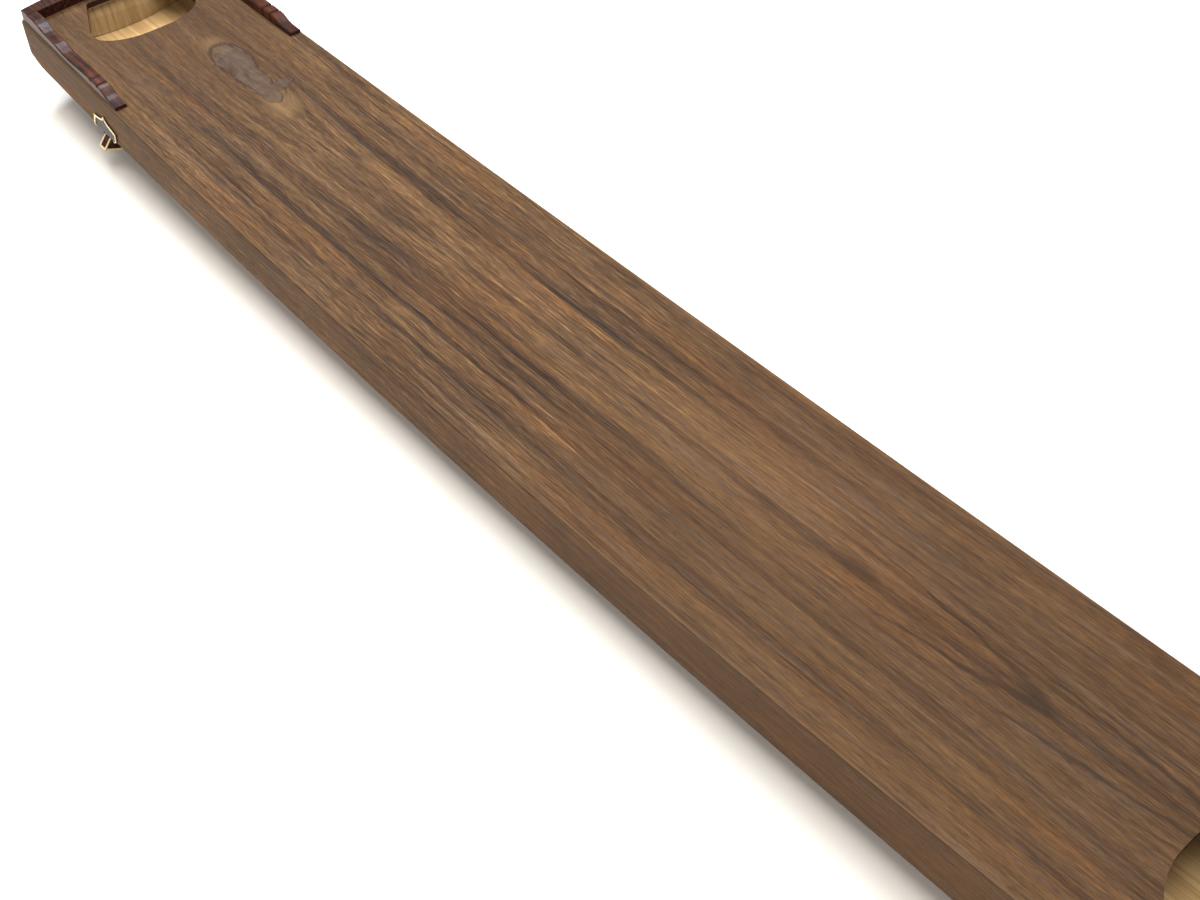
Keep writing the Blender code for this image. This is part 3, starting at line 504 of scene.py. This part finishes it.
def arm_tones(net, colour):
    """The foot arms' level stretch is redder, and its two cross grooves carry painted shade."""
    x = from_tail(net)
    level_stretch = net.math("MULTIPLY", net.step(x, 0.148, 0.166), net.step(x, 0.203, 0.193))
    redder = net.mix(1.0, colour, (0.045, 0.011, 0.003), "ADD")
    colour = net.mix(net.scaled(level_stretch, 0.75), colour, redder)
    for centre in ARM_GROOVES:
        away = net.math("ABSOLUTE", net.scaled(x, 1.0, -centre))
        # Painted shade: the groove recesses are darkened.
        groove_shade = net.math("MULTIPLY", net.step(away, 0.0026, 0.0018), net.step(x, 0.150, 0.160))
        colour = net.mix(net.scaled(groove_shade, 0.85), colour, GROOVE_SHADE_COLOUR)
    return colour


# ---------------------------------------------------------------- other materials

def lacquer():
    """Black lacquer with a faint orange-peel surface."""
    net = Net("black_lacquer")
    peel = net.noise(net.place, 420.0, 2, 0.5)
    haze = net.noise(net.place, 60.0, 3, 0.6)
    colour = net.ramp(haze, LACQUER_STOPS)
    net.bump(peel, 0.00003, 0.5)
    return net.set(base_color=colour, roughness=net.scaled(haze, 0.16, 0.14), specular_ior_level=0.09)


def gold_line():
    """Pale gold leaf, slightly uneven."""
    net = Net("gold_leaf")
    patch = net.noise(net.place, 300.0, 3, 0.6)
    net.bump(patch, 0.00008, 0.5)
    return net.set(base_color=net.ramp(patch, GOLD_STOPS), roughness=net.scaled(patch, 0.25, 0.22),
                   metallic=0.45)


def string_fibre():
    """Twisted and waxed yellow-white string: slanting strands."""
    net = Net("twisted_string")
    turn = net.math("ARCTAN2", net.z, net.y)
    slant = net.add(net.scaled(net.x, 2 * math.pi / 0.0030), net.scaled(turn, 3.0))
    strand = net.scaled(net.math("SINE", slant), 0.5, 0.5)
    patch = net.noise(net.point(net.scaled(net.x, 30.0), net.y, net.z), 1.0, 3, 0.5)
    colour = net.mix(strand, (0.52, 0.43, 0.24), (0.80, 0.72, 0.50))
    colour = net.mix(net.scaled(patch, 0.4), colour, (0.62, 0.52, 0.32))
    net.bump(strand, 0.00015, 0.8)
    return net.set(base_color=colour, roughness=net.scaled(patch, 0.2, 0.35))


def bone():
    """Creamy bone rings around the string holes."""
    net = Net("bone_ring")
    mottle = net.noise(net.place, 500.0, 2, 0.5)
    net.bump(mottle, 0.00004, 0.4)
    return net.set(base_color=net.ramp(mottle, BONE_STOPS), roughness=net.scaled(mottle, 0.2, 0.28))


# ---------------------------------------------------------------- pieces

def dress(nodes, names, material, bevel=0.0):
    """Give CAD nodes their material and, for crisp solids, softened edges."""
    for name in names:
        obj = nodes[name]
        obj.data.materials.clear()
        obj.data.materials.append(material)
        if bevel:
            modifier = obj.modifiers.new("soft_edge", "BEVEL")
            modifier.width = bevel
            modifier.segments = 2
            modifier.limit_method = "ANGLE"
            modifier.angle_limit = math.radians(35)
            modifier.harden_normals = False


def dress_wood(nodes):
    """The body: scorched outside, bare paulownia inside."""
    dress(nodes, ["back_board"], board_wood(), 0.0008)
    dress(nodes, ["deck_shell"], shell_wood(), 0.0008)
    inner = ["rib_tail", "rib_middle", "rib_head", "head_block", "leg_socket_left", "leg_socket_right"]
    dress(nodes, inner, raw_wood("bare_paulownia", 1.0), 0.0006)
    dress(nodes, ["tail_block"], raw_wood("end_block_paulownia", 0.8), 0.0006)


def dress_rosewood(nodes):
    """Feet, legs, bridges and end plates."""
    rose = rosewood("satin_rosewood")
    feet = ["rear_foot_bar", "front_leg_left", "front_leg_right"]
    dress(nodes, feet, rose, 0.0003)
    arms = ["rear_foot_arm_left", "rear_foot_arm_right"]
    dress(nodes, arms, rosewood("foot_arm_rosewood", True), 0.0003)
    dress(nodes, ["tail_bridge", "head_bridge"], rose, 0.0005)
    plates = ["tail_cap_plate", "head_cap_plate", "head_tongue", "head_tongue_frame"]
    dress(nodes, plates, rose, 0.0003)


def dress_trim(nodes):
    """Lacquered plates, gold lines and strings."""
    dress(nodes, ["tail_saddle_plate", "head_saddle_plate"], lacquer(), 0.0003)
    gold = [name for name in nodes if "gold" in name]
    dress(nodes, gold, gold_line(), 0.00015)
    strings = [name for name in nodes if name.startswith("string_")]
    dress(nodes, strings, string_fibre())


def deck_height(x, y):
    """Height of the arched deck's surface at x from the tail end and y across."""
    reach = LENGTH / 2
    along = 1 - ((x - reach) / reach) ** 2
    depth = DECK_DEPTH_TAIL + (DECK_DEPTH_HEAD - DECK_DEPTH_TAIL) * x / LENGTH
    return BOARD_TOP - SORI * along - depth + ARCH_RADIUS - math.sqrt(ARCH_RADIUS ** 2 - y ** 2)


def ring_mesh():
    """Turned bone ring that lines a string hole: a closed band around the hole's axis."""
    bm = bmesh.new()
    loops = []
    for k in range(RING_STEPS):
        turn = Matrix.Rotation(2 * math.pi * k / RING_STEPS, 3, "Z")
        loops.append([bm.verts.new(turn @ Vector((radius, 0.0, -rise))) for radius, rise in RING_PROFILE])
    count = len(RING_PROFILE)
    for k in range(RING_STEPS):
        here = loops[k]
        after = loops[(k + 1) % RING_STEPS]
        for i in range(count):
            j = (i + 1) % count
            bm.faces.new((here[i], here[j], after[j], after[i]))
    bmesh.ops.recalc_face_normals(bm, faces=bm.faces)
    for face in bm.faces:
        face.smooth = True
    mesh = bpy.data.meshes.new("string_ring")
    bm.to_mesh(mesh)
    bm.free()
    mesh.materials.append(bone())
    return mesh


def string_rings():
    """One ring round each string hole, lying on the arched deck."""
    mesh = ring_mesh()
    for end, hole_x, spacing in (("tail", TAIL_HOLE_X, STRING_SPACING_TAIL),
                                 ("head", HEAD_HOLE_X, STRING_SPACING_HEAD)):
        for index in range(STRING_COUNT):
            y = (index - STRING_COUNT // 2) * spacing
            obj = bpy.data.objects.new("%s_string_ring_%02d" % (end, index + 1), mesh)
            bpy.context.scene.collection.objects.link(obj)
            obj.location = (hole_x - CENTRE_X, y, deck_height(hole_x, y) - RING_SINK)
            obj.rotation_euler = (math.asin(y / ARCH_RADIUS), 0.0, 0.0)
            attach(obj, WHOLE_PART)


# ---------------------------------------------------------------- studio

def floor():
    """A large pale table top."""
    mesh = bpy.data.meshes.new("floor")
    size = FLOOR_HALF
    corners = [(-size, -size, 0), (size, -size, 0), (size, size, 0), (-size, size, 0)]
    mesh.from_pydata(corners, [], [(0, 1, 2, 3)])
    obj = bpy.data.objects.new("floor", mesh)
    bpy.context.scene.collection.objects.link(obj)
    net = Net("pale_table")
    colour = net.ramp(net.noise(net.place, 6.0, 3, 0.5), TABLE_STOPS)
    mesh.materials.append(net.set(base_color=colour, roughness=0.5, specular_ior_level=0.25))


def area_light(name, place, target, size, energy, colour):
    data = bpy.data.lights.new(name, "AREA")
    data.shape = "RECTANGLE"
    data.size = size[0]
    data.size_y = size[1]
    data.energy = energy
    data.color = colour
    obj = bpy.data.objects.new(name, data)
    bpy.context.scene.collection.objects.link(obj)
    obj.location = place
    direction = Vector(target) - Vector(place)
    obj.rotation_euler = direction.to_track_quat("-Z", "Y").to_euler()


def lights():
    """A broad overhead light, a cool small one behind the tail and a warm fill from the side."""
    area_light("overhead", (-0.3, 0.3, 3.0), (-0.3, 0.3, 0.0), (3.0, 3.0), 138.0, (1.0, 0.985, 0.96))
    area_light("window", (-2.0, 0.3, 2.3), (-0.6, 0.0, 0.1), (0.8, 0.6), 52.0, (0.86, 0.93, 1.0))
    area_light("side_fill", (0.4, -2.6, 0.8), (0.0, 0.0, 0.1), (2.6, 1.0), 24.0, (1.0, 0.96, 0.90))


def surroundings():
    """White studio all round, brighter near the horizon than overhead."""
    world = bpy.data.worlds.new("studio")
    world.use_nodes = True
    tree = world.node_tree
    place = tree.nodes.new("ShaderNodeTexCoord")
    split = tree.nodes.new("ShaderNodeSeparateXYZ")
    tree.links.new(place.outputs["Generated"], split.inputs[0])
    fade = tree.nodes.new("ShaderNodeMapRange")
    tree.links.new(split.outputs[2], fade.inputs["Value"])
    fade.inputs["From Min"].default_value = 0.15
    fade.inputs["From Max"].default_value = 0.50
    fade.inputs["To Min"].default_value = 0.80
    fade.inputs["To Max"].default_value = 0.45
    tree.links.new(fade.outputs["Result"], tree.nodes["Background"].inputs["Color"])
    bpy.context.scene.world = world


def camera():
    data = bpy.data.cameras.new("camera")
    data.lens = CAMERA_LENS
    data.sensor_width = 36.0
    obj = bpy.data.objects.new("camera", data)
    bpy.context.scene.collection.objects.link(obj)
    obj.location = CAMERA_PLACE
    direction = Vector(CAMERA_TARGET) - Vector(CAMERA_PLACE)
    obj.rotation_euler = direction.to_track_quat("-Z", "Y").to_euler()
    bpy.context.scene.camera = obj


def main():
    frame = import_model()
    nodes = frame["nodes"]
    bpy.context.scene.view_settings.view_transform = "Standard"
    camera()
    lights()
    surroundings()
    floor()
    dress_wood(nodes)
    dress_rosewood(nodes)
    dress_trim(nodes)
    string_rings()


main()
